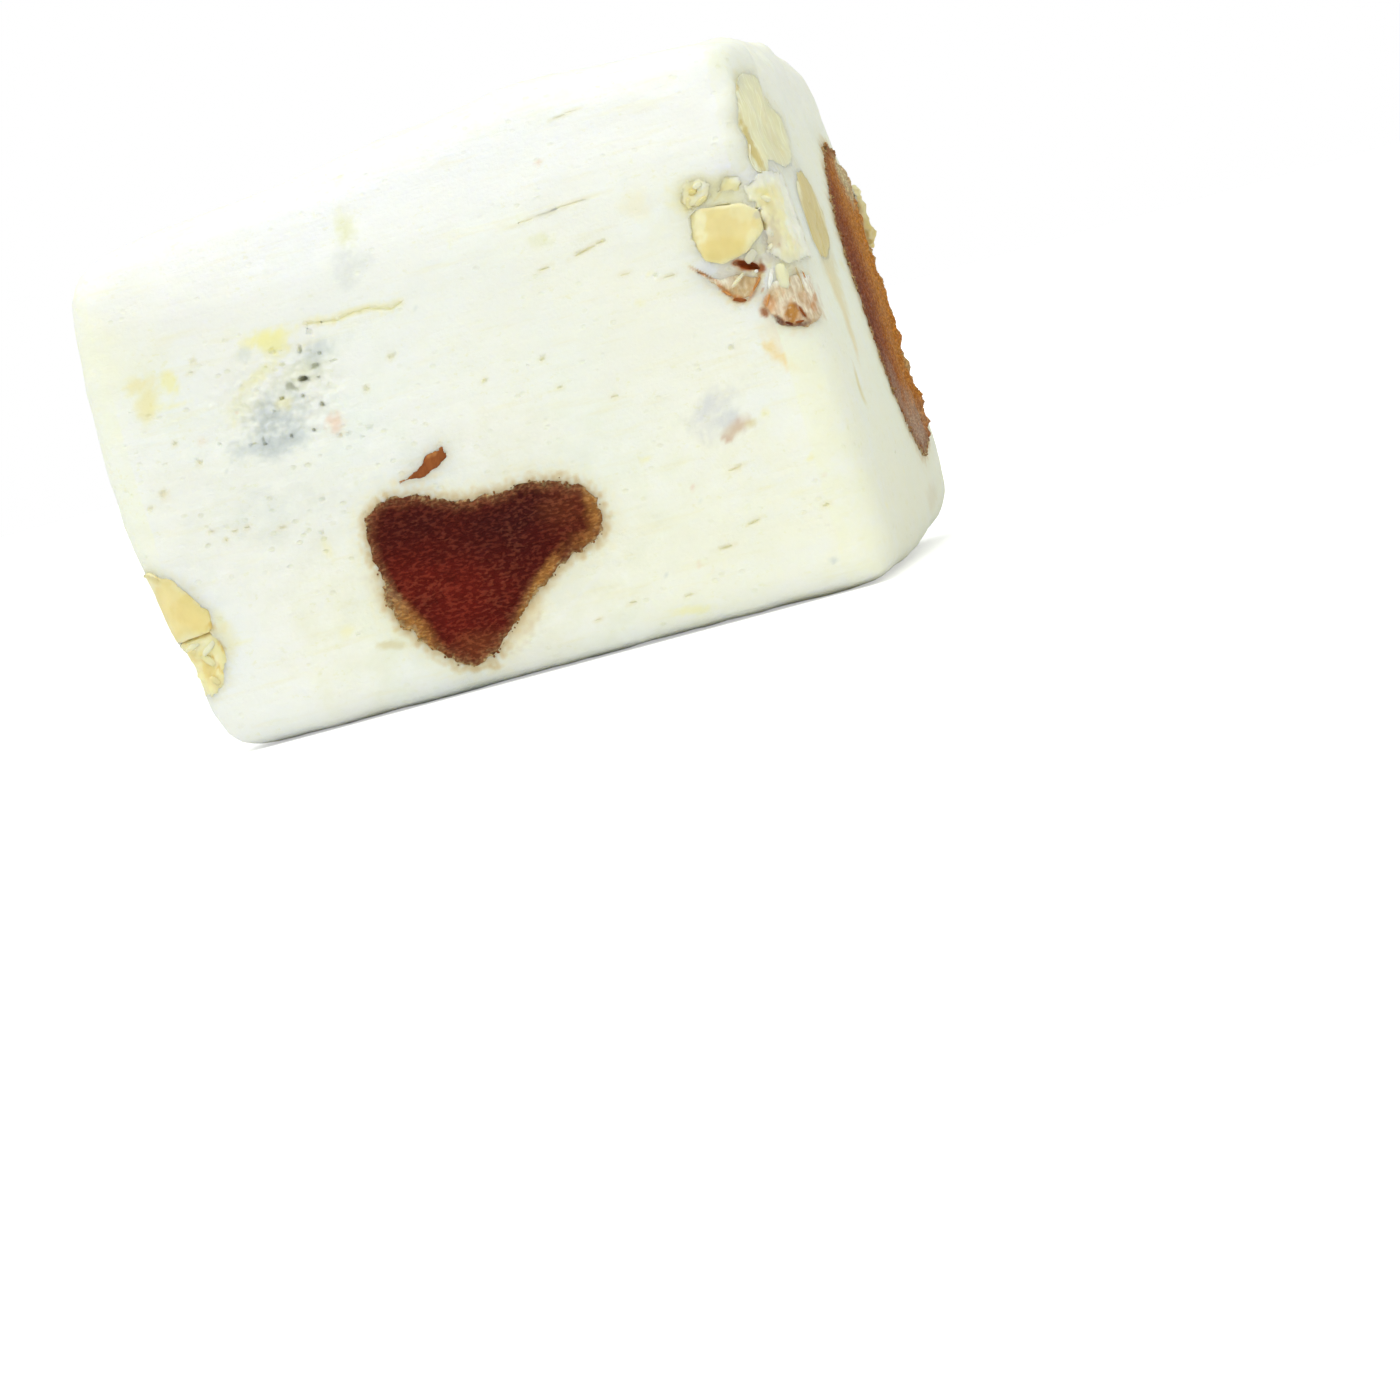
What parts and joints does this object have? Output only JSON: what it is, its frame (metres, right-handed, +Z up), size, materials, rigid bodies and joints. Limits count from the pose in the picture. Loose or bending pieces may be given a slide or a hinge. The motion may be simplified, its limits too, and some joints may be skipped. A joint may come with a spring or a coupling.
{
  "type": "nougat piece",
  "caption": "Soft white block of nougat with fruit jelly, nut pieces and nut skins cut flush with its rounded, hand-cut faces.",
  "frame": {"origin": "middle of the box's base, on the surface that the piece stands on", "axes": "+X along the length, from the lower left end to the end with the large jelly; +Y from the front cut to the back cut; +Z up"},
  "size_m": [0.0324, 0.0218, 0.0238],
  "materials": {
    "nougat": "soft matte, slightly porous, waxy",
    "jelly": "frosted translucent dark red, browner and crystalline at the rim",
    "nut": "pale creamy yellow, satin, broken facets",
    "skin": "red-brown, thin and fibrous"
  },
  "bodies": {
    "root": {"nougat": "nougat", "jelly_front": "jelly", "jelly_side": "jelly", "jelly_back": "jelly", "jelly_left": "jelly", "nut_corner": "nut", "nut_corner_flesh": "nut", "nut_corner_shard": "nut", "nut_corner_crumb": "nut", "skin_upper": "skin", "skin_lower": "skin", "sliver": "skin", "nut_left_upper": "nut", "nut_left_lower": "nut", "nut_edge": "nut", "nut_side": "nut", "nut_side_bit": "nut", "nut_back_kernel": "nut", "nut_back_chunk": "nut", "nut_back_chip": "nut", "nut_left_chunk": "nut", "skin_left": "skin", "nut_top": "nut", "nut_top_chip": "nut", "nut_base": "nut"}
  },
  "joints": []
}
